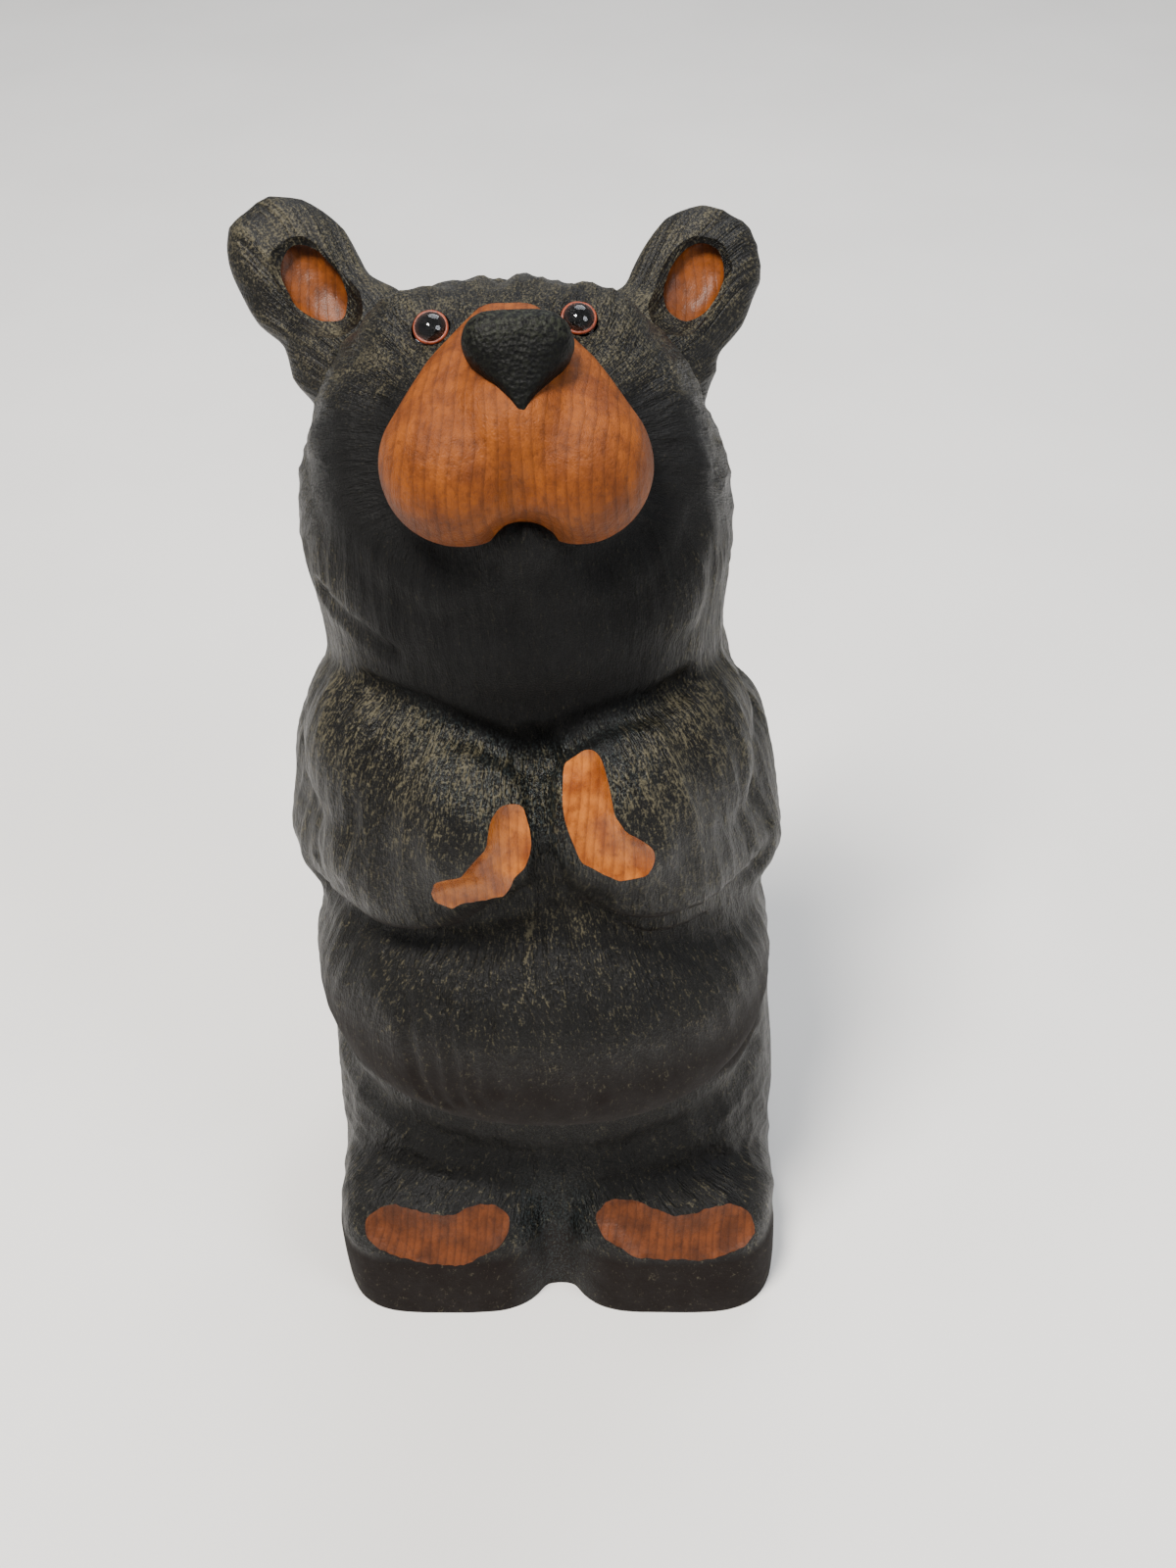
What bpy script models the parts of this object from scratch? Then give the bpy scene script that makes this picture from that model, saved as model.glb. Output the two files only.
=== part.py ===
"""A standing bear carved from one block of wood, gazing upwards, with two set-in glass eyes.

Metres, +Z up. The origin is at the middle of the underside, and the bear faces -Y.
The block is modelled as a carver works: rough masses are joined and smoothed to one skin,
the muzzle and the nose are raised on it, and the hollows and pads are gouged out last.
"""

import math

import bmesh
import bpy
from mathutils import Matrix, Vector

# Driving sizes, in metres
FIGURE_HEIGHT = 0.200
EYE_RADIUS = 0.0031
EYE_CLEARANCE = 0.0003
EYE_SINK = 0.0014

# The carver's unit: every mass, pose and cut below is a share of the figure's height
UNIT = FIGURE_HEIGHT / 200.0

# Lean and pose
LEAN_SLOPE = -0.033
HEAD_CENTRE = (0.0, -4.0, 165.0)
HEAD_TILT = math.radians(38.0)
HEAD_TURN = math.radians(3.0)
MUZZLE_OFFSET = 0.8

# Fineness of the skins, and how many triangles each keeps
BODY_VOXEL = 1.1
BODY_FACES = 6200
MUZZLE_VOXEL = 0.7
MUZZLE_FACES = 1000
NOSE_FACES = 260
CUTTER_FACES = 420

SIDES = (-1, 1)

# The column from the ground to the skull: height, half width, front, back, squareness
COLUMN = (
    (-8, 41.0, -33.0, 36.0, 3.6),
    (8, 42.3, -33.0, 37.5, 3.4),
    (28, 42.3, -30.0, 38.5, 3.2),
    (46, 41.4, -30.0, 38.5, 3.0),
    (64, 40.2, -32.0, 37.0, 2.8),
    (82, 38.6, -33.0, 35.0, 2.7),
    (100, 37.0, -31.0, 34.0, 2.6),
    (118, 34.0, -28.0, 33.0, 2.5),
    (133, 31.6, -27.0, 30.5, 2.4),
    (146, 31.6, -28.5, 28.5, 2.3),
    (157, 32.4, -30.0, 27.5, 2.3),
    (168, 30.5, -28.0, 25.5, 2.2),
    (176, 24.0, -20.0, 20.0, 2.2),
)

# Middle and radii of each paw
PAWS = {-1: ((-8.8, -24.5, 118), (14, 15, 16)), 1: ((14, -25, 120.5), (14, 15, 17))}

# Ears in the head's frame: middle of the paddle
EARS = {-1: (-30.0, 9, 30.2), 1: (28.2, 9, 27.5)}
EAR_LEAN = 32

# Eyes in the head's frame, on the skin
EYES = {-1: (-9.4, -21.3, 16.6), 1: (10.3, -21.1, 17.2)}

# Gouged pads: points along the middle of each gouge, its half width and its depth
PAW_PADS = {
    -1: (
        ((-2.6, -35, 128.0), (-2.1, -37, 124), (-2.6, -38, 120), (-4.5, -38.5, 116.3),
         (-7.5, -38.5, 113.3), (-11.5, -37.5, 110.6)),
        3.2,
        1.5,
    ),
    1: (
        ((8.8, -33.5, 132.5), (8.2, -36, 129), (8.6, -38, 125.5), (10.6, -39, 122.6),
         (13.6, -39.6, 120.6), (16.6, -39, 119.3)),
        3.5,
        1.5,
    ),
}
FOOT_PADS = {
    -1: ((-31.8, -36, 22.6), (-26.5, -38, 21.4), (-21, -39, 20.8), (-15.5, -38, 21.4), (-10.8, -36, 22.4)),
    1: ((12.2, -36, 22.4), (17, -38, 21.4), (23, -39, 20.8), (29, -38, 21.4), (34, -35, 22.6)),
}
FOOT_PAD_HALF = 4.4
FOOT_PAD_DEPTH = 1.4


def clear_scene():
    """Removes whatever objects the open file holds."""
    for old in list(bpy.data.objects):
        bpy.data.objects.remove(old, do_unlink=True)


def head_frame():
    """The head's own frame: -Y is where it looks, +Z is its crown."""
    place = Matrix.Translation(Vector(HEAD_CENTRE))
    return place @ Matrix.Rotation(HEAD_TURN, 4, "Z") @ Matrix.Rotation(-HEAD_TILT, 4, "X")


def leaned(point):
    """A carver's point in metres, with the block's lean."""
    x, y, z = point
    return Vector((x + LEAN_SLOPE * z, y, z)) * UNIT


def spin_of(turn):
    """A turn about X, then Y, then Z, in degrees."""
    spin = Matrix.Identity(4)
    for axis, degrees in zip("XYZ", turn):
        spin = Matrix.Rotation(math.radians(degrees), 4, axis) @ spin
    return spin


def add_mass(shape, centre, radii, turn=(0.0, 0.0, 0.0), squareness=2.0, frame=None):
    """Adds one closed rounded mass, from ball to soft box as its squareness grows."""
    made = bmesh.ops.create_icosphere(shape, subdivisions=4, radius=1.0)["verts"]
    if squareness != 2.0:
        for vert in made:
            vert.co *= sum(abs(c) ** squareness for c in vert.co) ** (-1.0 / squareness)
    place = Matrix.Translation(Vector(centre)) @ spin_of(turn) @ Matrix.Diagonal((*radii, 1.0))
    if frame is not None:
        place = frame @ place
    bmesh.ops.transform(shape, matrix=place, verts=made)


def add_limb(shape, stations, frame=None, steps=5):
    """Adds a row of balls along stations of (point, radius), close enough to fuse into a limb."""
    for (start, r0), (end, r1) in zip(stations, stations[1:]):
        for step in range(steps + 1):
            share = step / steps
            centre = Vector(start).lerp(Vector(end), share)
            radius = r0 + (r1 - r0) * share
            add_mass(shape, centre, (radius, radius, radius), frame=frame)


def between(before, here, after, beyond, t):
    """A smooth value a share t of the way from here to after."""
    curve = 2 * here + (after - before) * t
    curve += (2 * before - 5 * here + 4 * after - beyond) * t * t
    return 0.5 * (curve + (3 * here - before - 3 * after + beyond) * t**3)


def add_column(shape, rows, around=72, steps=6):
    """Adds a closed column through rows of (height, half width, front, back, squareness)."""
    rings = []
    last = len(rows) - 1
    for index in range(last):
        near = [rows[min(max(index + k, 0), last)] for k in (-1, 0, 1, 2)]
        for step in range(steps + (index == last - 1)):
            mixed = [between(*four, step / steps) for four in zip(*near)]
            height, half, front, back, square = mixed
            ring = []
            for k in range(around):
                angle = 2 * math.pi * k / around
                across = math.cos(angle)
                along = math.sin(angle)
                reach = (abs(across) ** square + abs(along) ** square) ** (-1.0 / square)
                deep = (front + back) / 2 + (back - front) / 2 * along * reach
                ring.append(shape.verts.new((half * across * reach, deep, height)))
            rings.append(ring)
    for low, high in zip(rings, rings[1:]):
        for k in range(around):
            n = (k + 1) % around
            shape.faces.new((low[k], low[n], high[n], high[k]))
    shape.faces.new(reversed(rings[0]))
    shape.faces.new(rings[-1])


def finish_shape(name, shape, collection):
    """Leans and scales the masses, and links them as one object."""
    for vert in shape.verts:
        vert.co = leaned(vert.co)
    mesh = bpy.data.meshes.new(name)
    shape.to_mesh(mesh)
    shape.free()
    obj = bpy.data.objects.new(name, mesh)
    collection.objects.link(obj)
    return obj


def apply_modifiers(obj):
    """Bakes an object's modifiers into its mesh."""
    bpy.context.view_layer.update()
    seen = obj.evaluated_get(bpy.context.evaluated_depsgraph_get())
    baked = bpy.data.meshes.new_from_object(seen)
    obj.modifiers.clear()
    obj.data = baked


def skin_over(obj, voxel, smoothing, faces):
    """Fuses the masses to one smooth skin with about this many triangles."""
    remesh = obj.modifiers.new("skin", "REMESH")
    remesh.mode = "VOXEL"
    remesh.voxel_size = voxel * UNIT
    smooth = obj.modifiers.new("smooth", "SMOOTH")
    smooth.factor = 0.5
    smooth.iterations = smoothing
    apply_modifiers(obj)
    facet = obj.modifiers.new("facet", "DECIMATE")
    facet.ratio = min(1.0, faces / (2.0 * len(obj.data.polygons)))
    apply_modifiers(obj)


def body_masses(shape):
    """The column, the belly and the feet."""
    add_column(shape, COLUMN)
    add_mass(shape, (0, -8, 72), (40.0, 35, 28), squareness=2.3)
    for side in SIDES:
        add_mass(shape, (side * 21.3, -15, 8), (20.8, 25, 21), squareness=3.8)


def arm_masses(shape):
    """Both arms, folded so that the paws meet on the chest."""
    for side in SIDES:
        middle, radii = PAWS[side]
        shoulder = ((side * 22.3, -2, 112), 17.2)
        elbow = ((side * 25.3, -4, 96.5), 16.5)
        forearm = ((side * 18, -19, 107), 16.0)
        add_limb(shape, [shoulder, elbow, forearm, (middle, 14.0), shoulder])
        add_mass(shape, (side * 18.5, -11, 119.5), (17.3, 19.5, 20.5), squareness=2.2)
        add_mass(shape, middle, radii)


def head_masses(shape):
    """The skull, throat, chin, brows and ears."""
    frame = head_frame()
    add_mass(shape, (0, 0, 0), (29.5, 27, 27), squareness=2.2, frame=frame)
    add_mass(shape, (1, -12, 153), (25, 19, 21))
    add_mass(shape, (MUZZLE_OFFSET, -20.5, -11), (7, 7.5, 6), frame=frame)
    for side in SIDES:
        add_mass(shape, (side * 10, -12, 15), (11, 9.5, 9), frame=frame)
        x, y, z = EARS[side]
        root = (x - side * 8, y - 1, z - 11)
        add_mass(shape, root, (11, 7.5, 12), turn=(0, side * 35, 0), frame=frame)
        lean = (0, side * EAR_LEAN, 0)
        add_mass(shape, (x, y, z), (9.6, 5.5, 12.5), turn=lean, squareness=2.3, frame=frame)


def muzzle_masses(shape):
    """The muzzle: a bridge that widens to two round lobes."""
    frame = head_frame()
    for side in SIDES:
        top = ((MUZZLE_OFFSET + side * 1.5, -18, 14.5), 5.5)
        middle = ((MUZZLE_OFFSET + side * 4.5, -24, 6), 8.5)
        lobe = ((MUZZLE_OFFSET + side * 7.6, -26.5, -2.5), 10.4)
        add_limb(shape, [top, middle, lobe], frame=frame)
    upper = ((MUZZLE_OFFSET, -25, 6), 9.5)
    lower = ((MUZZLE_OFFSET, -27.5, 1.5), 9.5)
    add_limb(shape, [upper, lower], frame=frame)


def nose_masses(shape):
    """The nose: a wedge with a broad top and a pointed foot."""
    made = bmesh.ops.create_icosphere(shape, subdivisions=4, radius=1.0)["verts"]
    for vert in made:
        vert.co *= sum(abs(c) ** 3.2 for c in vert.co) ** (-1.0 / 3.2)
        drop = max((1.0 - vert.co.z) / 2, 0.0)
        vert.co.x *= 1.0 - 0.85 * drop**1.6
        vert.co.y += 0.5 * drop
    size = Matrix.Diagonal((7.6, 6, 7.2, 1.0))
    place = head_frame() @ Matrix.Translation((1.9, -34, 8.6)) @ size
    bmesh.ops.transform(shape, matrix=place, verts=made)


def gouge_along(name, skin, points, half_width, depth, collection):
    """A gouge cutter that rides on the skin along these points."""
    radius = (half_width**2 + depth**2) / (2 * depth)
    stations = []
    for point in points:
        found, spot, normal, face = skin.closest_point_on_mesh(leaned(point))
        centre = spot / UNIT + normal * (radius - depth)
        centre.x -= LEAN_SLOPE * centre.z
        stations.append((centre, radius))
    shape = bmesh.new()
    add_limb(shape, stations, steps=3)
    cutter = finish_shape(name, shape, collection)
    skin_over(cutter, 0.45, 2, CUTTER_FACES)
    return cutter


def ball_at(name, centre, radius, collection, subdivisions=3):
    """A ball in metres."""
    shape = bmesh.new()
    bmesh.ops.create_icosphere(shape, subdivisions=subdivisions, radius=radius)
    bmesh.ops.translate(shape, vec=centre, verts=shape.verts)
    mesh = bpy.data.meshes.new(name)
    shape.to_mesh(mesh)
    shape.free()
    obj = bpy.data.objects.new(name, mesh)
    collection.objects.link(obj)
    return obj


def combine(body, tool, operation):
    """Joins a tool to the body or cuts it out, as a live Boolean."""
    step = body.modifiers.new(tool.name, "BOOLEAN")
    step.operation = operation
    step.solver = "EXACT"
    step.object = tool
    tool.hide_render = True
    tool.display_type = "WIRE"


def paint(obj, name, colour, roughness, transmission=0.0):
    """Gives an object its own Principled material."""
    material = bpy.data.materials.new(name)
    material.use_nodes = True
    shader = material.node_tree.nodes["Principled BSDF"]
    shader.inputs["Base Color"].default_value = (*colour, 1.0)
    shader.inputs["Roughness"].default_value = roughness
    shader.inputs["Transmission Weight"].default_value = transmission
    obj.data.materials.clear()
    obj.data.materials.append(material)


def base_cutter(collection):
    """The block below the sawn underside."""
    shape = bmesh.new()
    bmesh.ops.create_cube(shape, size=1.0)
    bmesh.ops.scale(shape, vec=(0.14, 0.14, 0.03), verts=shape.verts)
    bmesh.ops.translate(shape, vec=(0, 0, -0.015), verts=shape.verts)
    mesh = bpy.data.meshes.new("saw_underside")
    shape.to_mesh(mesh)
    shape.free()
    obj = bpy.data.objects.new("saw_underside", mesh)
    collection.objects.link(obj)
    return obj


def ear_hollow(side, collection):
    """The scoop in the front of an ear."""
    x, y, z = EARS[side]
    shape = bmesh.new()
    centre = (x - side * 1.6, y - 8.3, z - 2)
    lean = (0, side * EAR_LEAN, 0)
    add_mass(shape, centre, (6.4, 5.8, 9.4), turn=lean, frame=head_frame())
    hollow = finish_shape(f"ear_hollow_{side}", shape, collection)
    skin_over(hollow, 0.8, 2, CUTTER_FACES)
    return hollow


def forehead_furrow(skin, collection):
    """The narrow groove over the crown."""
    frame = head_frame()
    points = [frame @ Vector(p) for p in ((2, -20, 20), (2, -15, 24), (1.5, -8, 26.5))]
    return gouge_along("furrow", skin, points, 1.6, 0.6, collection)


def build():
    """Builds the bear and its eyes."""
    clear_scene()
    bear = bpy.data.collections.new("carved_bear")
    bpy.context.scene.collection.children.link(bear)
    tools = bpy.data.collections.new("carving_tools")
    bpy.context.scene.collection.children.link(tools)

    shape = bmesh.new()
    body_masses(shape)
    arm_masses(shape)
    head_masses(shape)
    body = finish_shape("bear_body", shape, bear)
    skin_over(body, BODY_VOXEL, 14, BODY_FACES)

    shape = bmesh.new()
    muzzle_masses(shape)
    muzzle = finish_shape("muzzle", shape, tools)
    skin_over(muzzle, MUZZLE_VOXEL, 8, MUZZLE_FACES)
    shape = bmesh.new()
    nose_masses(shape)
    nose = finish_shape("nose", shape, tools)
    skin_over(nose, MUZZLE_VOXEL, 2, NOSE_FACES)

    cuts = [base_cutter(tools), forehead_furrow(body, tools)]
    for side in SIDES:
        points, half_width, depth = PAW_PADS[side]
        cuts.append(gouge_along(f"paw_pad_{side}", body, points, half_width, depth, tools))
        points = FOOT_PADS[side]
        pad = gouge_along(f"foot_pad_{side}", body, points, FOOT_PAD_HALF, FOOT_PAD_DEPTH, tools)
        cuts.append(pad)
        cuts.append(ear_hollow(side, tools))

    frame = head_frame()
    for side, name in ((-1, "eye_right"), (1, "eye_left")):
        skin_point = leaned(frame @ Vector(EYES[side]))
        found, spot, normal, face = body.closest_point_on_mesh(skin_point)
        centre = spot - normal * EYE_SINK
        eye = ball_at(name, centre, EYE_RADIUS, bear)
        eye.data.shade_smooth()
        paint(eye, name + "_glass", (0.10, 0.03, 0.01), 0.05)
        socket = ball_at("socket_" + name, centre, EYE_RADIUS + EYE_CLEARANCE, tools)
        cuts.append(socket)

    combine(body, muzzle, "UNION")
    combine(body, nose, "UNION")
    for cut in cuts:
        combine(body, cut, "DIFFERENCE")
    body.data.shade_smooth()
    paint(body, "stained_wood", (0.020, 0.018, 0.016), 0.55)


build()
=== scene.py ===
"""Looks of a standing bear carved from one block of wood, gazing upwards, with two glass eyes.

Metres, +Z up, and the bear faces -Y. Left and right are the bear's own. The carver's points below
are in millimetres, before the block's slight lean to one side is put in.
"""

import logging
import math
from dataclasses import dataclass, field
from enum import Enum
from typing import Iterable, Optional, Sequence

import bpy
import numpy as np
from mathutils import Euler, Matrix, Vector


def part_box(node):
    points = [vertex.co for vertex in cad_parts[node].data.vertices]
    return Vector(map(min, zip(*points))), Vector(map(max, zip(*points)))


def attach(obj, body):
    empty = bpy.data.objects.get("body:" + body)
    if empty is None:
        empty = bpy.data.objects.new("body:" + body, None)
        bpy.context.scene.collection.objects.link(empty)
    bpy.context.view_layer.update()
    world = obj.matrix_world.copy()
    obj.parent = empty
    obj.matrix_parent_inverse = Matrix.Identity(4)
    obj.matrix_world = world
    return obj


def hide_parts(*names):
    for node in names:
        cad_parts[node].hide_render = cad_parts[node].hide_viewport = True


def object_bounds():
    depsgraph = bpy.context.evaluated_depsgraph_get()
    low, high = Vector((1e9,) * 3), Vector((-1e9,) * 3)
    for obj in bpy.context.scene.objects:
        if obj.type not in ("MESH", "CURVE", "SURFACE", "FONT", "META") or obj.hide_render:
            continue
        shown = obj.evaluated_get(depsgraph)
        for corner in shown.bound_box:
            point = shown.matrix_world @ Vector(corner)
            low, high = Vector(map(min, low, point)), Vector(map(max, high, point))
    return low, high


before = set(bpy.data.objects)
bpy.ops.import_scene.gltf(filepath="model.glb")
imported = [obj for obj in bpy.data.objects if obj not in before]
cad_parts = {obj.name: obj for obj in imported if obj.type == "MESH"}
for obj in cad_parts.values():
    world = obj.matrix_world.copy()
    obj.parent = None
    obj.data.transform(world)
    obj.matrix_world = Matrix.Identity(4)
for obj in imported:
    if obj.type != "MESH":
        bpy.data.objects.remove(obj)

CAD_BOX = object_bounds()
LOG = logging.getLogger("carved_bear")

Point = tuple[float, float, float]

UNIT = 0.001
LEAN_SLOPE = -0.033
HEAD_CENTRE = (0.0, -4.0, 165.0)
HEAD_TILT = math.radians(38.0)
HEAD_TURN = math.radians(3.0)
MUZZLE_MIDDLE = 0.8


class Side(Enum):
    """Which side of the bear a part is on."""

    RIGHT = -1
    LEFT = 1


class Grain(Enum):
    """How a bare patch of the wood is toned."""

    MUZZLE = "muzzle"
    PAW = "paw"
    FOOT = "foot"
    EAR = "ear"
    EYE_RIM = "eye_rim"


# ---------------------------------------------------------------- places


def head_frame() -> Matrix:
    """The head's own frame in millimetres: -Y is where it looks, +Z is its crown."""
    place = Matrix.Translation(Vector(HEAD_CENTRE))
    return place @ Matrix.Rotation(HEAD_TURN, 4, "Z") @ Matrix.Rotation(-HEAD_TILT, 4, "X")


def leaned(point: Sequence[float]) -> Vector:
    """A carver's point in metres, with the block's lean."""
    x, y, z = point
    return Vector((x + LEAN_SLOPE * z, y, z)) * UNIT


def spin_of(turn: Point) -> Matrix:
    """A turn about X, then Y, then Z, in degrees."""
    return Euler([math.radians(a) for a in turn], "XYZ").to_matrix().to_4x4()


# ---------------------------------------------------------------- noise


def lattice(ix: np.ndarray, iy: np.ndarray, iz: np.ndarray, seed: int) -> np.ndarray:
    """A fixed scatter of values from 0 to 1 on whole numbered points.

    Args:
        ix: Whole numbers along the first axis.
        iy: Whole numbers along the second axis.
        iz: Whole numbers along the third axis.
        seed: Which scatter.

    Returns:
        One value for each point.
    """
    mixed = ix.astype(np.int64) * 374761393 + iy.astype(np.int64) * 668265263
    mixed = mixed + iz.astype(np.int64) * 2147483647 + seed * 974634777
    mixed = mixed & 0xFFFFFFFF
    mixed = ((mixed ^ (mixed >> 13)) * 1274126177) & 0xFFFFFFFF
    mixed = ((mixed ^ (mixed >> 15)) * 2246822519) & 0xFFFFFFFF
    return ((mixed ^ (mixed >> 16)) & 0xFFFFFF) / float(0xFFFFFF)


def soft_noise(points: np.ndarray, size: float, seed: int) -> np.ndarray:
    """Smooth noise from -1 to 1.

    Args:
        points: Places in millimetres, one row each.
        size: The size of its humps in millimetres.
        seed: Which noise.

    Returns:
        One value for each point.
    """
    scaled = points / size
    base = np.floor(scaled)
    part = scaled - base
    part = part * part * (3 - 2 * part)
    total = np.zeros(len(points))
    for dx in (0, 1):
        for dy in (0, 1):
            for dz in (0, 1):
                weight = np.abs(1 - dx - part[:, 0]) * np.abs(1 - dy - part[:, 1])
                weight = weight * np.abs(1 - dz - part[:, 2])
                total += weight * lattice(base[:, 0] + dx, base[:, 1] + dy, base[:, 2] + dz, seed)
    return total * 2 - 1


def scoops(across: np.ndarray, along: np.ndarray, width: float, length: float, seed: int) -> np.ndarray:
    """Overlapping gouge cuts: 0 in the bed of a cut and about 1 on the ridge between two.

    Args:
        across: Distance across the strokes in millimetres.
        along: Distance along the strokes in millimetres.
        width: Width of one cut in millimetres.
        length: Length of one cut in millimetres.
        seed: Which set of cuts.

    Returns:
        One height for each point.
    """
    u = across / width
    v = along / length
    iu = np.floor(u)
    iv = np.floor(v)
    nearest = np.full(len(u), 9.0)
    for du in (-1, 0, 1):
        for dv in (-1, 0, 1):
            cu = iu + du
            cv = iv + dv
            zero = np.zeros(len(u))
            ju = lattice(cu, cv, zero, seed)
            jv = lattice(cu, cv, zero + 7, seed)
            apart = (cu + 0.1 + 0.8 * ju - u) ** 2 + (cv + jv - v) ** 2
            nearest = np.minimum(nearest, apart)
    return np.minimum(nearest * 1.6, 1.0)


def ramp(value: np.ndarray, start: float, end: float) -> np.ndarray:
    """Rises smoothly from 0 at start to 1 at end, which may be the lower of the two."""
    share = np.clip((value - start) / (end - start), 0.0, 1.0)
    return share * share * (3 - 2 * share)


# ---------------------------------------------------------------- modelling


def deselect() -> None:
    """Leaves edit mode and lets go of whatever is selected."""
    if bpy.context.object is not None and bpy.context.object.mode != "OBJECT":
        bpy.ops.object.mode_set(mode="OBJECT")
    bpy.ops.object.select_all(action="DESELECT")


def pick(obj: bpy.types.Object) -> None:
    """Makes this the one selected and active object."""
    deselect()
    obj.select_set(True)
    bpy.context.view_layer.objects.active = obj


def points_of(obj: bpy.types.Object) -> np.ndarray:
    """The mesh's points in its own space, one row each."""
    flat = np.empty(len(obj.data.vertices) * 3, np.float32)
    obj.data.vertices.foreach_get("co", flat)
    return flat.reshape(-1, 3).astype(float)


def normals_of(obj: bpy.types.Object) -> np.ndarray:
    """The mesh's point normals, one row each."""
    flat = np.empty(len(obj.data.vertices) * 3, np.float32)
    obj.data.vertex_normals.foreach_get("vector", flat)
    return flat.reshape(-1, 3).astype(float)


def place_points(obj: bpy.types.Object, points: np.ndarray) -> None:
    """Moves the mesh's points."""
    obj.data.vertices.foreach_set("co", points.astype(np.float32).ravel())
    obj.data.update()


def carver_points(points: np.ndarray) -> np.ndarray:
    """Metres with the lean, back to the carver's millimetres without it."""
    back = points / UNIT
    back[:, 0] -= LEAN_SLOPE * back[:, 2]
    return back


def ball(
    centre: Sequence[float],
    radii: Sequence[float],
    turn: Point = (0.0, 0.0, 0.0),
    squareness: float = 2.0,
    within: Optional[Matrix] = None,
    fineness: int = 4,
) -> bpy.types.Object:
    """Adds a rounded mass at its size and place, from ball to soft box.

    Args:
        centre: Its middle in the carver's millimetres.
        radii: Half sizes along its own axes.
        turn: Its turn in degrees.
        squareness: 2 for a ball, more for a softer or harder box.
        within: The frame that the place is given in.
        fineness: Subdivisions of the starting form.

    Returns:
        The new object, with its scale and turn still on it.
    """
    place = Matrix.Translation(Vector(centre)) @ spin_of(turn)
    if within is not None:
        place = within @ place
    spot, swing, _ = place.decompose()
    bpy.ops.mesh.primitive_ico_sphere_add(
        subdivisions=fineness,
        radius=1.0,
        location=spot * UNIT,
        rotation=swing.to_euler(),
    )
    made = bpy.context.object
    made.scale = [r * UNIT for r in radii]
    if squareness != 2.0:
        points = points_of(made)
        reach = (np.abs(points) ** squareness).sum(axis=1) ** (-1.0 / squareness)
        place_points(made, points * reach[:, None])
    return made


def limb(
    stations: Sequence[tuple[Sequence[float], float]],
    within: Optional[Matrix] = None,
    steps: int = 5,
    fineness: int = 4,
) -> list[bpy.types.Object]:
    """Adds a row of balls close enough to fuse.

    Args:
        stations: Points along the limb, each with its radius.
        within: The frame that the points are given in.
        steps: Balls from one station to the next.
        fineness: Subdivisions of each ball.

    Returns:
        The balls.
    """
    made = []
    for (start, r0), (end, r1) in zip(stations, stations[1:]):
        for step in range(steps + 1):
            share = step / steps
            middle = Vector(start).lerp(Vector(end), share)
            radius = r0 + (r1 - r0) * share
            made.append(ball(middle, (radius,) * 3, within=within, fineness=fineness))
    return made


def join(name: str, parts: Sequence[bpy.types.Object]) -> bpy.types.Object:
    """Joins parts into one object at the origin.

    Args:
        name: The new object's name.
        parts: What it is joined from.

    Returns:
        The joined object.
    """
    deselect()
    for part in parts:
        part.select_set(True)
    bpy.context.view_layer.objects.active = parts[0]
    bpy.ops.object.transform_apply(location=True, rotation=True, scale=True)
    if len(parts) > 1:
        bpy.ops.object.join()
    whole = bpy.context.object
    whole.name = name
    whole.data.name = name
    return whole


def lean(obj: bpy.types.Object) -> None:
    """Puts the block's lean into a mesh."""
    points = points_of(obj)
    points[:, 0] += LEAN_SLOPE * points[:, 2]
    place_points(obj, points)


def modify(obj: bpy.types.Object, kind: str, **settings: object) -> None:
    """Adds a modifier with these settings and applies it."""
    pick(obj)
    step = obj.modifiers.new(kind.lower(), kind)
    for key, value in settings.items():
        setattr(step, key, value)
    bpy.ops.object.modifier_apply(modifier=step.name)


def fuse(obj: bpy.types.Object, voxel: float, smoothing: int) -> None:
    """Fuses overlapping masses to one smooth skin.

    Args:
        obj: The joined masses.
        voxel: Size of the skin's squares in millimetres.
        smoothing: How many times it is eased.
    """
    modify(obj, "REMESH", mode="VOXEL", voxel_size=voxel * UNIT)
    modify(obj, "SMOOTH", factor=0.5, iterations=smoothing)


def thin_out(obj: bpy.types.Object, triangles: int) -> None:
    """Leaves about this many triangles, most where the surface bends."""
    now = sum(len(face.vertices) - 2 for face in obj.data.polygons)
    if now > triangles:
        modify(obj, "DECIMATE", ratio=triangles / now, use_collapse_triangulate=True)


def store(obj: bpy.types.Object, name: str, values: np.ndarray) -> None:
    """Keeps three values for each point under a name that a finish reads."""
    made = obj.data.attributes.new(name, "FLOAT_VECTOR", "POINT")
    made.data.foreach_set("vector", values.astype(np.float32).ravel())


def soften(obj: bpy.types.Object, angle: float) -> None:
    """Shades smoothly except across edges sharper than this many degrees."""
    pick(obj)
    bpy.ops.object.shade_smooth_by_angle(angle=math.radians(angle))


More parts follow.
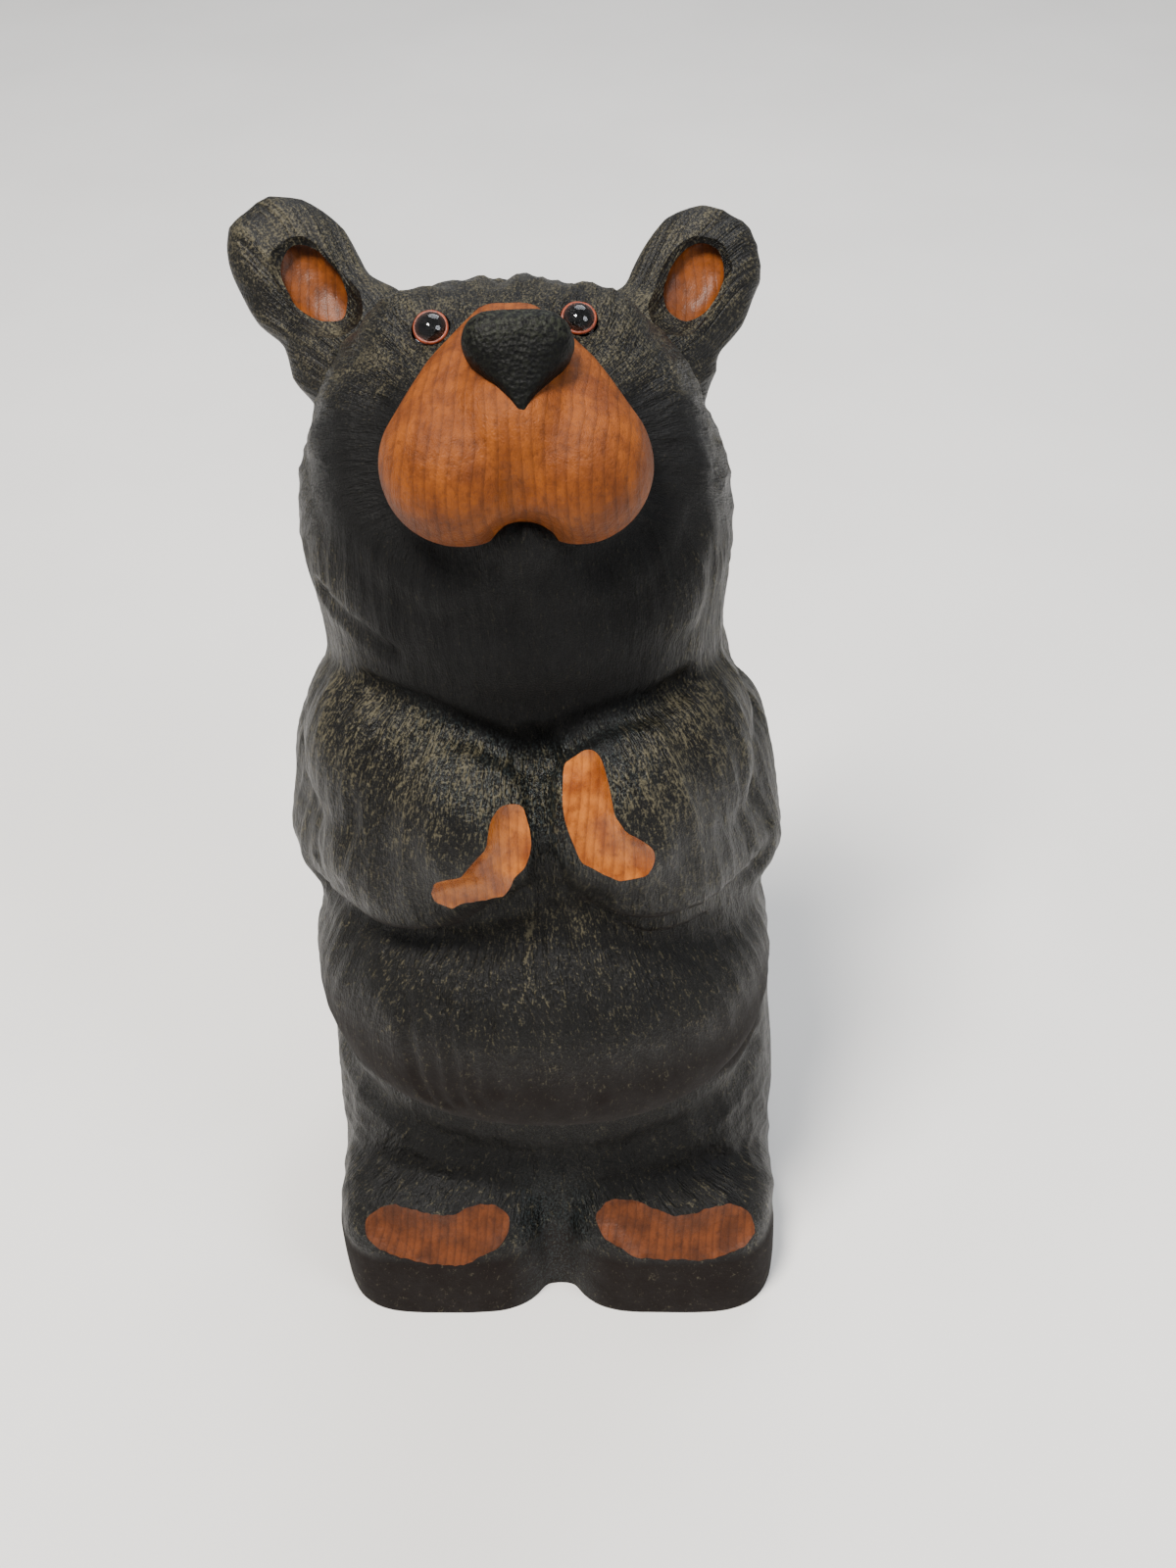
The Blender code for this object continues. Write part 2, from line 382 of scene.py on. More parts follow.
@dataclass(frozen=True)
class Stroke:
    """One pass of a tool along the skin: a groove where depth is above 0, else a raised roll."""

    points: tuple[Point, ...]
    reach: float
    depth: float
    sharp: float = 1.0

    def settled(self, skin: bpy.types.Object) -> "Stroke":
        """The same stroke with its points laid on a skin."""
        laid = []
        for point in self.points:
            _, spot, _, _ = skin.closest_point_on_mesh(leaned(point))
            laid.append(tuple(carver_points(np.array([spot]))[0]))
        return Stroke(tuple(laid), self.reach, self.depth, self.sharp)

    def cut(self, spots: np.ndarray) -> np.ndarray:
        """How far each point is pushed in.

        Args:
            spots: Places in the carver's millimetres.

        Returns:
            One depth in millimetres for each place.
        """
        path = np.array(self.points, float)
        nearest = np.full(len(spots), 1e9)
        for start, end in zip(path, path[1:]):
            run = end - start
            share = np.clip((spots - start) @ run / max(run @ run, 1e-9), 0.0, 1.0)
            apart = np.linalg.norm(spots - start - share[:, None] * run, axis=1)
            nearest = np.minimum(nearest, apart)
        fall = np.clip(1.0 - nearest / self.reach, 0.0, 1.0)
        eased = fall * fall * (3 - 2 * fall)
        return self.depth * eased**self.sharp


# ---------------------------------------------------------------- finishes


def linear(code: str) -> tuple[float, float, float, float]:
    """An sRGB hex colour as linear RGBA."""
    shares = [int(code[i : i + 2], 16) / 255 for i in (0, 2, 4)]
    bright = [c / 12.92 if c <= 0.04045 else ((c + 0.055) / 1.055) ** 2.4 for c in shares]
    return (bright[0], bright[1], bright[2], 1.0)


class Bench:
    """A material's node tree, with one way to add a node."""

    def __init__(self, name: str) -> None:
        """Starts a material with its surface shader."""
        self.material = bpy.data.materials.new(name)
        self.material.use_nodes = True
        self.tree = self.material.node_tree
        self.surface = self.tree.nodes["Principled BSDF"]

    def add(self, kind: str, feeds: Optional[dict] = None, **settings: object) -> bpy.types.Node:
        """Adds a node with its settings, and feeds its inputs.

        Args:
            kind: The node's type, without the common start of its name.
            feeds: A value or an output for each input, by name or number.
            **settings: The node's own options.

        Returns:
            The node.
        """
        node = self.tree.nodes.new("ShaderNode" + kind)
        for key, value in settings.items():
            setattr(node, key, value)
        self.feed(node, feeds or {})
        return node

    def feed(self, node: bpy.types.Node, feeds: dict) -> None:
        """Links or sets inputs of a node, by name or number."""
        for key, value in feeds.items():
            if isinstance(value, bpy.types.NodeSocket):
                self.tree.links.new(value, node.inputs[key])
            else:
                node.inputs[key].default_value = value

    def sum(self, kind: str, *terms: object) -> bpy.types.NodeSocket:
        """The result of one step of arithmetic."""
        return self.add("Math", dict(enumerate(terms)), operation=kind).outputs[0]

    def blend(self, share: object, low: object, high: object) -> bpy.types.NodeSocket:
        """A colour between two."""
        feeds = {0: share, 6: low, 7: high}
        return self.add("Mix", feeds, data_type="RGBA").outputs[2]

    def between(
        self, value: object, start: float, end: float, low: float = 0.0, high: float = 1.0
    ) -> bpy.types.NodeSocket:
        """Eases from low to high while the value goes from start to end."""
        feeds = {0: value, 1: start, 2: end, 3: low, 4: high}
        return self.add("MapRange", feeds, interpolation_type="SMOOTHSTEP").outputs[0]

    def stretched(self, source: object, sizes: Point) -> bpy.types.NodeSocket:
        """Coordinates divided by a size in each direction."""
        feeds = {0: source, 1: tuple(1.0 / s if s else 0.0 for s in sizes)}
        return self.add("VectorMath", feeds, operation="MULTIPLY").outputs[0]

    def noise(
        self, source: object, detail: float = 3.0, roughness: float = 0.5
    ) -> bpy.types.NodeSocket:
        """Cloudy noise on coordinates that are already scaled."""
        feeds = {"Vector": source, "Scale": 1.0, "Detail": detail, "Roughness": roughness}
        return self.add("TexNoise", feeds).outputs[0]

    def cells(self, source: object) -> bpy.types.NodeSocket:
        """Distance from the middle of the nearest of scattered cells."""
        return self.add("TexVoronoi", {"Vector": source, "Scale": 1.0}).outputs["Distance"]

    def millimetres(self) -> bpy.types.NodeSocket:
        """The object's own coordinates in millimetres."""
        place = self.add("TexCoord").outputs["Object"]
        return self.stretched(place, (UNIT, UNIT, UNIT))


@dataclass(frozen=True)
class StainedFur:
    """Black wood stain on carved softwood, with a beige dry brush that catches on the ridges.

    The stain is close to matt, so the eye reads it by the light on the tool marks. Sizes are in
    millimetres. The finest strokes are drawn a little wider than real ones, so that they show. Light
    and shade are also painted into the colour: painted shade in the throat, beside the muzzle and
    under the belly, a painted blue-grey sheen on the chest crease and paws, and paler tips where the
    skin faces up and on the crown and shoulders.
    """

    dark: str = "100f0d"
    deep: str = "060606"
    brown: str = "120b08"
    tip: str = "4a4535"
    scuff_and_sheen: str = "3a4446"
    roughness: float = 0.44
    cut_size: Point = (1.5, 6.5, 0.0)
    hair_size: Point = (0.38, 1.3, 0.0)
    thread_size: Point = (0.24, 1.5, 0.0)
    patch_size: Point = (6.0, 6.0, 8.0)
    grit_size: Point = (0.36, 0.36, 0.42)
    hair_catch: float = 0.8
    thread_catch: float = 0.9
    grit_catch: float = 1.7
    cut_catch: float = 0.12
    brush_load: float = 0.56
    brush_least: float = 0.44
    tip_gain: float = 2.2
    tip_start: float = 0.2
    hair_depth: float = 0.2
    thread_depth: float = 0.22
    grit_depth: float = 0.22
    cut_depth: float = 0.42

    def make(self) -> bpy.types.Material:
        """Builds the material, which reads the flow and tone kept on the mesh."""
        bench = Bench("stained_fur")
        place = bench.millimetres()
        body_flow = bench.add("Attribute", attribute_name="body_flow").outputs["Vector"]
        head_flow = bench.add("Attribute", attribute_name="head_flow").outputs["Vector"]
        marks = bench.add("Attribute", attribute_name="marks").outputs["Vector"]
        tones = bench.add("Attribute", attribute_name="tones").outputs["Vector"]
        mark = bench.add("SeparateXYZ", {0: marks}).outputs
        tone = bench.add("SeparateXYZ", {0: tones}).outputs
        on_head, smooth, scuff_and_sheen_share = mark[0], mark[1], mark[2]
        brushed_and_lit, shaded, relief = tone[0], tone[1], tone[2]

        # Knife strokes on three scales that follow the flow: cuts, hairs and threads
        cuts = self.along(bench, body_flow, head_flow, on_head, self.cut_size)
        hair = self.along(bench, body_flow, head_flow, on_head, self.hair_size)
        thin_body = bench.noise(bench.stretched(body_flow, self.thread_size), 2.0)
        thin_head = bench.noise(bench.stretched(head_flow, self.thread_size), 2.0)
        thin = bench.add("Mix", {0: on_head, 2: thin_body, 3: thin_head}).outputs[0]

        # Pale tips: what stands proud catches the brush first, and more of it where more paint went on.
        # The same share also holds painted light: paler where the skin faces up and on the crown and
        # shoulders
        patch = bench.noise(bench.stretched(place, self.patch_size), 4.0, 0.65)
        grit = bench.noise(bench.stretched(place, self.grit_size), 2.0, 0.7)
        mean = 0.5 * (self.hair_catch + self.thread_catch)
        streaks = bench.sum("MULTIPLY_ADD", hair, self.hair_catch, -mean)
        streaks = bench.sum("MULTIPLY_ADD", thin, self.thread_catch, streaks)
        streaks = bench.sum("MULTIPLY", streaks, bench.between(on_head, 0.0, 1.0, 1.0, 0.3))
        proud = bench.sum("MULTIPLY_ADD", grit, self.grit_catch, streaks)
        proud = bench.sum("MULTIPLY_ADD", cuts, self.cut_catch, proud)
        brush_and_light_load = bench.sum("MULTIPLY", brushed_and_lit, bench.between(patch, 0.3, 0.7, 0.72, 1.3))
        brush_and_light_load = bench.sum("MULTIPLY", brush_and_light_load, bench.between(relief, 0.0, 1.0, 0.86, 1.12))
        least = -self.brush_least - 0.5 * self.grit_catch - 0.4 * self.cut_catch
        level = bench.sum("MULTIPLY_ADD", brush_and_light_load, self.brush_load, least)
        tips = bench.sum("MULTIPLY_ADD", bench.sum("ADD", proud, level), self.tip_gain, self.tip_start)
        tips = bench.add("MapRange", {0: tips, 1: 0.0, 2: 1.0}, clamp=True).outputs[0]
        # Fewer pale tips in the painted shade
        tips = bench.sum("MULTIPLY", tips, bench.between(shaded, 0.0, 1.0, 1.0, 0.3))

        # The ground: black, browner where left smooth, darker in the painted shade, and blue-grey where
        # there is scuffing or a painted sheen
        ground = bench.blend(patch, linear(self.deep), linear(self.dark))
        ground = bench.blend(smooth, ground, linear(self.brown))
        # Painted shade: darker ground in the throat, beside the muzzle and in the recess under the
        # belly
        ground = bench.blend(shaded, ground, linear(self.deep))
        # Blue-grey where marked: a painted sheen on the chest crease and paws, and real dry brush
        # between the feet
        worn_and_sheen = bench.sum("MULTIPLY", scuff_and_sheen_share, bench.between(grit, 0.45, 0.68))
        ground = bench.blend(bench.sum("MULTIPLY", worn_and_sheen, 0.6), ground, linear(self.scuff_and_sheen))
        colour = bench.blend(tips, ground, linear(self.tip))

        rough = bench.between(patch, 0.3, 0.7, self.roughness - 0.06, self.roughness + 0.08)
        rough = bench.sum("SUBTRACT", rough, bench.sum("MULTIPLY", scuff_and_sheen_share, 0.18))
        still = bench.between(bench.sum("MULTIPLY_ADD", shaded, 0.6, smooth), 0.0, 1.0)
        rough = bench.sum("MULTIPLY_ADD", still, 0.45, rough)
        depth = bench.sum("MULTIPLY", hair, self.hair_depth)
        depth = bench.sum("MULTIPLY_ADD", thin, self.thread_depth, depth)
        depth = bench.sum("MULTIPLY_ADD", grit, self.grit_depth, depth)
        depth = bench.sum("MULTIPLY_ADD", cuts, self.cut_depth, depth)
        depth = bench.sum("MULTIPLY", depth, bench.between(smooth, 0.0, 1.0, 1.0, 0.25))
        bump = bench.add("Bump", {"Strength": 1.0, "Distance": UNIT, "Height": depth})
        bench.feed(
            bench.surface,
            {
                "Base Color": colour,
                "Roughness": rough,
                "Normal": bump.outputs[0],
                "IOR": 1.45,
                "Specular IOR Level": 0.2,
            },
        )
        return bench.material

    def along(
        self,
        bench: Bench,
        body_flow: bpy.types.NodeSocket,
        head_flow: bpy.types.NodeSocket,
        on_head: bpy.types.NodeSocket,
        size: Point,
    ) -> bpy.types.NodeSocket:
        """Long narrow cells that follow the flow of the body and of the head.

        Args:
            bench: The material being made.
            body_flow: Across and along the body's strokes.
            head_flow: Across and along the head's strokes.
            on_head: Share of the head's.
            size: Width and length of a stroke in millimetres.

        Returns:
            0 in a stroke's bed, rising to its edge.
        """
        low = bench.cells(bench.stretched(body_flow, size))
        high = bench.cells(bench.stretched(head_flow, size))
        return bench.add("Mix", {0: on_head, 2: low, 3: high}).outputs[0]


@dataclass(frozen=True)
class BareWood:
    """Varnished softwood where the stain is left off: a satin brown with thin dark growth lines.

    The rings run round a trunk far to one side, so they cut the block in nearly flat sheets. Sizes are
    in millimetres. Fibre is drawn several times wider than real fibre, so that it shows.
    """

    grain: Grain
    light: str
    dark: str
    line: str
    roughness: float = 0.36
    ring: float = 1.45
    trunk: tuple[float, float] = (-300.0, 6.0)
    trunk_stretch: float = 18.0
    sway: float = 2.6
    sway_size: Point = (14.0, 14.0, 34.0)
    fibre_size: Point = (0.16, 0.16, 4.0)
    cloud_size: Point = (4.0, 4.0, 6.0)
    mottle_size: Point = (1.1, 1.1, 1.5)
    late_share: float = 0.34
    pore_share: float = 0.35
    mottle_share: float = 0.4
    late_depth: float = 0.04
    tooling: float = 0.05
    gloss: float = 0.3

    def make(self) -> bpy.types.Material:
        """Builds the material on the object's own coordinates, so the rings run through the block."""
        bench = Bench("bare_wood_" + self.grain.value)
        place = bench.millimetres()

        # Growth rings: distance from the trunk's middle, bent a little along its length
        sway = bench.noise(bench.stretched(place, self.sway_size), 2.0)
        shift = bench.add("VectorMath", {0: place, 1: (*self.trunk, 0.0)}, operation="SUBTRACT")
        flat = bench.stretched(shift.outputs[0], (1.0, 1.0, self.trunk_stretch))
        reach = bench.add("VectorMath", {0: flat}, operation="LENGTH").outputs["Value"]
        years = bench.sum("DIVIDE", reach, self.ring)
        years = bench.sum("MULTIPLY_ADD", sway, self.sway, years)
        share = bench.sum("FRACT", years)
        late = bench.between(share, 0.45, 0.93)
        late = bench.sum("MULTIPLY", late, bench.between(share, 1.0, 0.93))

        fibre = bench.noise(bench.stretched(place, self.fibre_size), 3.0, 0.6)
        cloud = bench.noise(bench.stretched(place, self.cloud_size), 4.0, 0.6)
        mottle = bench.noise(bench.stretched(place, self.mottle_size), 3.0, 0.7)
        colour = bench.blend(bench.between(cloud, 0.3, 0.7), linear(self.dark), linear(self.light))
        for share in (
            bench.sum("MULTIPLY", late, self.late_share),
            bench.between(fibre, 0.58, 0.75, 0.0, self.pore_share),
            bench.between(mottle, 0.48, 0.72, 0.0, self.mottle_share),
        ):
            colour = bench.blend(share, colour, linear(self.line))

        rough = bench.between(fibre, 0.3, 0.7, self.roughness - 0.05, self.roughness + 0.1)
        depth = bench.sum("MULTIPLY", late, self.late_depth)
        depth = bench.sum("MULTIPLY_ADD", fibre, self.tooling, depth)
        depth = bench.sum("MULTIPLY_ADD", mottle, -2.5 * self.tooling, depth)
        bump = bench.add("Bump", {"Strength": 0.7, "Distance": UNIT, "Height": depth})
        bench.feed(
            bench.surface,
            {
                "Base Color": colour,
                "Roughness": rough,
                "Normal": bump.outputs[0],
                "IOR": 1.5,
                "Specular IOR Level": self.gloss,
            },
        )
        return bench.material


BARE_WOODS: dict[Grain, BareWood] = {
    Grain.MUZZLE: BareWood(
        Grain.MUZZLE, "783f11", "592b0a", "2e1203", roughness=0.5, tooling=0.16, gloss=0.16
    ),
    Grain.PAW: BareWood(Grain.PAW, "a86227", "743a12", "42190a", roughness=0.28, gloss=0.22),
    Grain.FOOT: BareWood(
        Grain.FOOT, "613216", "43210d", "210d04", roughness=0.42, tooling=0.12, gloss=0.2
    ),
    Grain.EAR: BareWood(Grain.EAR, "6b3710", "4c250a", "281004", roughness=0.36, gloss=0.14),
    Grain.EYE_RIM: BareWood(Grain.EYE_RIM, "7c3416", "5c220c", "331206", roughness=0.4),
}


@dataclass(frozen=True)
class NoseStain:
    """Thick black wood stain with a stippled skin, matt, and rubbed greyer on its upper face."""

    black: str = "070707"
    rubbed: str = "25271f"
    pit_size: float = 0.55
    grit_size: float = 0.5
    pit_depth: float = 0.16
    grit_depth: float = 0.12

    def make(self) -> bpy.types.Material:
        """Builds the material."""
        bench = Bench("nose_stain")
        place = bench.millimetres()
        rub = bench.add("Attribute", attribute_name="rub").outputs["Vector"]
        amount = bench.add("SeparateXYZ", {0: rub}).outputs[0]
        pits = bench.cells(bench.stretched(place, (self.pit_size,) * 3))
        grit = bench.noise(bench.stretched(place, (self.grit_size,) * 3), 3.0, 0.7)
        specks = bench.between(grit, 0.4, 0.68)
        specks = bench.sum("MULTIPLY", specks, bench.between(amount, 0.0, 1.0, 0.25, 1.0))
        colour = bench.blend(specks, linear(self.black), linear(self.rubbed))
        depth = bench.sum("MULTIPLY", pits, self.pit_depth)
        depth = bench.sum("MULTIPLY_ADD", grit, self.grit_depth, depth)
        bump = bench.add("Bump", {"Strength": 0.8, "Distance": UNIT, "Height": depth})
        bench.feed(
            bench.surface,
            {
                "Base Color": colour,
                "Roughness": 0.5,
                "Normal": bump.outputs[0],
                "IOR": 1.45,
                "Specular IOR Level": 0.1,
            },
        )
        return bench.material


@dataclass(frozen=True)
class EyeGlass:
    """Clear glass of the eye's front: sharp small highlights over the paint behind it."""

    roughness: float = 0.02

    def make(self) -> bpy.types.Material:
        """Builds the material from plain shader values."""
        bench = Bench("eye_glass")
        bench.feed(
            bench.surface,
            {
                "Base Color": (1.0, 1.0, 1.0, 1.0),
                "Roughness": self.roughness,
                "IOR": 1.42,
                "Specular IOR Level": 0.2,
                "Transmission Weight": 1.0,
            },
        )
        return bench.material


@dataclass(frozen=True)
class EyePaint:
    """Enamel on the back of a glass eye: a dark brown iris round a black pupil."""

    iris: str = "241008"
    pupil: str = "020202"
    fleck_size: float = 0.3
    fleck_share: float = 0.12

    def make(self) -> bpy.types.Material:
        """Builds the material, which reads the distance from the pupil's middle kept on the mesh."""
        bench = Bench("eye_paint")
        round_pupil = bench.add("Attribute", attribute_name="from_pupil").outputs["Vector"]
        apart = bench.add("SeparateXYZ", {0: round_pupil}).outputs[0]
        fleck = bench.noise(bench.stretched(bench.millimetres(), (self.fleck_size,) * 3))
        edge = bench.sum("MULTIPLY_ADD", fleck, self.fleck_share, apart)
        colour = bench.blend(bench.between(edge, 0.62, 0.85), linear(self.pupil), linear(self.iris))
        bench.feed(bench.surface, {"Base Color": colour, "Roughness": 0.6, "Specular IOR Level": 0.05})
        return bench.material


@dataclass(frozen=True)
class FloorPaint:
    """Plain pale matt paper."""

    shade: str = "e4e2de"
    cloud: str = "dfddd9"
    cloud_size: float = 90.0

    def make(self) -> bpy.types.Material:
        """Builds the material, with a faint mottle."""
        bench = Bench("floor_paper")
        mottle = bench.noise(bench.stretched(bench.millimetres(), (self.cloud_size,) * 3))
        colour = bench.blend(bench.between(mottle, 0.3, 0.7), linear(self.cloud), linear(self.shade))
        bench.feed(bench.surface, {"Base Color": colour, "Roughness": 0.85})
        return bench.material


def keep_in_box(obj: bpy.types.Object, margin: float = 0.00003) -> None:
    """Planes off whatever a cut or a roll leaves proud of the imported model's box."""
    low, high = (np.array(corner) for corner in CAD_BOX)
    place_points(obj, np.clip(points_of(obj), low + np.array((margin, margin, 0.0)), high - margin))


def dress(obj: bpy.types.Object, material: bpy.types.Material) -> None:
    """Gives a piece its finish."""
    obj.data.materials.clear()
    obj.data.materials.append(material)


# ---------------------------------------------------------------- the block


@dataclass(frozen=True)
class StrokeMap:
    """Where each kind of stroke, tone, wear, painted shade and painted sheen lies on the bear."""

    round_body: float = 38.0
    round_head: float = 30.0

    def head_space(self, spots: np.ndarray) -> np.ndarray:
        """Places in the head's own frame."""
        back = np.array(head_frame().inverted())
        return spots @ back[:3, :3].T + back[:3, 3]

    def body_flow(self, spots: np.ndarray) -> np.ndarray:
        """Across and along the strokes of the body, which run down and fan out a little.

        Args:
            spots: Places in the carver's millimetres.

        Returns:
            Rows of across, along and nothing, in millimetres.
        """
        x, y, z = spots.T
        turn = np.arcsin(np.clip(x / (np.hypot(x, y) + 1e-6), -1, 1))
        bend = soft_noise(spots, 26.0, 3) * 3.0
        across = turn * self.round_body * (1.0 + 0.0035 * (z - 105)) + bend
        along = z + 0.7 * y + 0.12 * np.abs(x)
        return np.stack([across, along, np.zeros(len(x))], axis=1)

    def head_flow(self, spots: np.ndarray) -> np.ndarray:
        """Across and along the strokes of the head, which run back from the muzzle.

        Args:
            spots: Places in the carver's millimetres.

        Returns:
            Rows of across, along and nothing, in millimetres.
        """
        hx, hy, hz = self.head_space(spots).T
        length = np.sqrt(hx**2 + hy**2 + hz**2) + 1e-6
        around = np.arctan2(hx - MUZZLE_MIDDLE, hz)
        away = np.arccos(np.clip(-hy / length, -1, 1))
        bend = soft_noise(spots, 18.0, 5) * 2.5
        across = around * self.round_head + bend
        return np.stack([across, away * self.round_head, np.zeros(len(hx))], axis=1)

    def on_head(self, spots: np.ndarray) -> np.ndarray:
        """1 on the head, 0 on the body and under the jaw."""
        jaw = ramp(self.head_space(spots)[:, 2], -14, -5)
        return ramp(spots[:, 2], 146, 157) * jaw

    def smooth(self, spots: np.ndarray, normals: np.ndarray) -> np.ndarray:
        """1 where the carver left the wood smooth and brown.

        Args:
            spots: Places in the carver's millimetres.
            normals: Which way the skin faces there.

        Returns:
            One share for each place.
        """
        _, y, z = spots.T
        front = ramp(y, -8, -20)
        belly = 0.9 * ramp(z, 84, 66) * ramp(z, 48, 58) * front
        toes = ramp(z, 19, 15) * ramp(y, -24, -30)
        under_arm = ramp(normals[:, 2], -0.25, -0.6) * ramp(z, 84, 88) * ramp(z, 108, 100) * front
        return np.clip(belly + toes + under_arm, 0, 1)

    def marks(self, spots: np.ndarray, normals: np.ndarray) -> np.ndarray:
        """Head share, smooth share, and share of scuffing and painted sheen for each place."""
        x, y, z = spots.T
        crease = ramp(np.abs(z - 126 - 0.5 * np.abs(x - 1)), 6, 2)
        crease = crease * ramp(y, -16, -24) * ramp(np.abs(x), 26, 12)
        paws = ramp(np.hypot(x - 3, z - 122), 12, 4) * ramp(y, -26, -32)
        between_feet = ramp(np.abs(x), 10, 3) * ramp(z, 34, 22) * ramp(y, -12, -20)
        # Painted blue-grey sheen along the chest crease and on the paws, and real blue-grey dry brush
        # between the feet
        scuff_and_sheen = np.clip(0.7 * crease + 0.7 * paws + 0.8 * between_feet, 0, 1)
        return np.stack([self.on_head(spots), self.smooth(spots, normals), scuff_and_sheen], axis=1)

    def tones(self, spots: np.ndarray, normals: np.ndarray) -> np.ndarray:
        """Share of dry brush with painted light, share of painted shade, and relief for each place.

        Args:
            spots: Places in the carver's millimetres.
            normals: Which way the skin faces there.

        Returns:
            Rows of dry brush with painted light, painted shade and relief.
        """
        x, y, z = spots.T
        _, hy, hz = self.head_space(spots).T
        front = ramp(y, -4, -18)
        cheek = ramp(z, 142, 150) * ramp(hy, -6, -15) * ramp(hz, 11, 4)
        throat = ramp(z, 172, 162) * ramp(z - 0.5 * np.abs(x - 1), 127, 131)
        throat = throat * front * ramp(np.abs(x), 27, 17)
        recess = ramp(z, 47, 41) * ramp(z, 22, 29) * front
        belly = ramp(z, 98, 92) * front
        smooth = self.smooth(spots, normals)
        shoulder = ramp(z, 116, 132) * ramp(z, 146, 136)
        rubbed = ramp(np.abs(x + 1), 1.1, 0.4) * ramp(z, 87, 90) * ramp(z, 99, 96) * front
        # Dry brush share, with painted light added where the skin faces up and on the crown and
        # shoulders, and less in the painted shade of the cheeks, throat and recess
        brushed_and_lit = 0.38 + 0.16 * ramp(normals[:, 2], 0.1, 0.7)
        brushed_and_lit = brushed_and_lit + 0.14 * ramp(z, 160, 172) + 0.16 * shoulder
        brushed_and_lit = brushed_and_lit * (1 - 0.55 * belly) * (1 - 0.8 * cheek) * (1 - 0.95 * throat)
        brushed_and_lit = brushed_and_lit * (1 - 0.4 * recess) * (1 - 0.9 * smooth) + 0.5 * rubbed
        # Painted shade: the throat under the muzzle, the cheeks beside it and the recess under the
        # belly are darkened
        shaded = np.clip(0.7 * cheek + 0.8 * throat + 0.3 * recess, 0, 1)
        return np.stack([brushed_and_lit, shaded, self.relief(spots)], axis=1)

    def relief(self, spots: np.ndarray) -> np.ndarray:
        """Height of the gouge cuts, from 0 in a bed to 1 on a ridge."""
        body = self.body_flow(spots)
        head = self.head_flow(spots)
        share = self.on_head(spots)
        long_cuts = scoops(body[:, 0], body[:, 1], 3.1, 19.0, 11)
        short_cuts = scoops(head[:, 0], head[:, 1], 2.3, 8.0, 12)
        return long_cuts * (1 - share) + short_cuts * share

    def depth(self, spots: np.ndarray, normals: np.ndarray) -> np.ndarray:
        """How far each point is cut in, in millimetres.

        Args:
            spots: Places in the carver's millimetres.
            normals: Which way the skin faces there.

        Returns:
            One depth for each place.
        """
        x, y, z = spots.T
        head = self.on_head(spots)
        smooth = self.smooth(spots, normals)
        front = ramp(y, -4, -18)
        throat = ramp(z, 158, 150) * ramp(z, 130, 138) * front
        recess = ramp(z, 46, 38) * ramp(z, 20, 28) * front
        back = ramp(y, 5, 18)
        strong = 0.56 + 0.12 * back - 0.14 * head
        strong = strong * (1 - 0.75 * throat) * (1 - 0.9 * smooth)
        cut = (1.0 - self.relief(spots)) * strong
        chips = 1.0 - scoops(x + y * 0.4, z, 3.4, 2.8, 21)
        cut = cut + chips * 0.35 * recess
        uneven = soft_noise(spots, 10.0, 31) * 0.18 + soft_noise(spots, 4.0, 32) * 0.09
        return cut + uneven * (1 - 0.7 * smooth)


@dataclass(frozen=True)
class Pad:
    """A shallow gouge that bares the wood of a paw or a foot."""

    name: str
    grain: Grain
    points: tuple[Point, ...]
    half_widths: tuple[float, ...]
    depth: float
    flutes: float = 0.0

    def cutter(self, skin: bpy.types.Object) -> bpy.types.Object:
        """The tool's shape, riding on the skin.

        Args:
            skin: The body it cuts.

        Returns:
            The cutter, dressed in the wood that it bares.
        """
        stations = []
        for point, half in zip(self.points, self.half_widths):
            radius = (half**2 + self.depth**2) / (2 * self.depth)
            _, spot, normal, _ = skin.closest_point_on_mesh(leaned(point))
            centre = spot / UNIT + normal * (radius - self.depth)
            stations.append((centre, radius))
        tool = join(self.name, limb(stations, steps=7, fineness=3))
        fuse(tool, 0.4, 12)
        if self.flutes:
            spots = points_of(tool) / UNIT
            wave = np.abs(np.sin((spots[:, 0] + soft_noise(spots, 5.0, 41)) * math.pi / 2.2))
            inward = normals_of(tool)
            place_points(tool, (spots - inward * (wave * self.flutes)[:, None]) * UNIT)
        thin_out(tool, 9000)
        dress(tool, BARE_WOODS[self.grain].make())
        return tool


